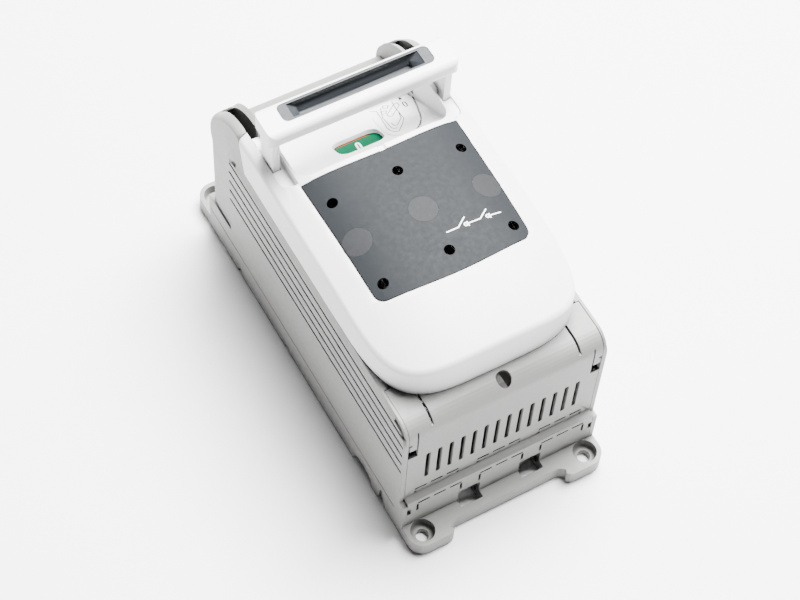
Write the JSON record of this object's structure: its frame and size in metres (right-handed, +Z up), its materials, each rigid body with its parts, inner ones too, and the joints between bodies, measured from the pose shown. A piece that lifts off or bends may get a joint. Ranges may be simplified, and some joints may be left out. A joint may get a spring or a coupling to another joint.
{
  "type": "switch disconnector",
  "caption": "Base-mounted three-pole switch disconnector with a swing handle over a crowned lid, a vented terminal cover and a position indicator.",
  "frame": {"origin": "middle of the flat underside of the base, between the four mounting holes", "axes": "+X to the right seen from the vented front cover, +Y from the front cover to the rear, +Z up from the mounting surface"},
  "size_m": [0.108, 0.2374, 0.1475],
  "materials": {
    "shell": "fine satin texture",
    "cover_white": "fine satin texture",
    "handle_white": "satin",
    "plate_dark": "fine matt texture",
    "window": "frosted",
    "grip_dark": "matt",
    "flag": "satin",
    "carriage_dark": "matt",
    "steel": "brushed",
    "conductor": "silver plated",
    "fibre": "matt"
  },
  "bodies": {
    "body": {"base_plate": "shell", "housing": "shell", "front_cover": "shell", "rear_cover": "shell", "lid": "cover_white", "label_plate": "plate_dark", "window_left": "window", "window_mid": "window", "window_right": "window", "instruction_tab": "cover_white", "line_bar_left": "conductor", "line_clamp_left": "steel", "line_bar_mid": "conductor", "line_clamp_mid": "steel", "line_bar_right": "conductor", "line_clamp_right": "steel", "load_bar_left": "conductor", "load_clamp_left": "steel", "load_bar_mid": "conductor", "load_clamp_mid": "steel", "load_bar_right": "conductor", "load_clamp_right": "steel", "arc_chamber_left": "fibre", "arc_chamber_mid": "fibre", "arc_chamber_right": "fibre", "terminal_screws": "steel"},
    "handle": {"handle": "handle_white", "grip_insert": "grip_dark", "cross_shaft": "steel"},
    "carriage": {"contact_carriage": "carriage_dark", "bridge_left": "conductor", "bridge_mid": "conductor", "bridge_right": "conductor", "spring_left": "steel", "spring_mid": "steel", "spring_right": "steel"},
    "flag": {"indicator_flag": "flag"}
  },
  "joints": [
    {"name": "handle_swing", "type": "hinge", "parent": "body", "child": "handle", "pos_m": [0, 0.06445, 0.0875], "axis": [-1, 0, 0], "range_deg": [0, 54]},
    {"name": "carriage_lift", "type": "slide", "parent": "body", "child": "carriage", "axis": [0, 0, 1], "range_m": [0, 0.01181]},
    {"name": "flag_slide", "type": "slide", "parent": "body", "child": "flag", "axis": [0, -0.866, 0.5], "range_m": [0, 0.01601]}
  ],
  "couplings": [
    {"joint": "carriage_lift", "follows": "handle_swing", "m_per_rad": 0.012524},
    {"joint": "flag_slide", "follows": "handle_swing", "m_per_rad": 0.016977}
  ]
}
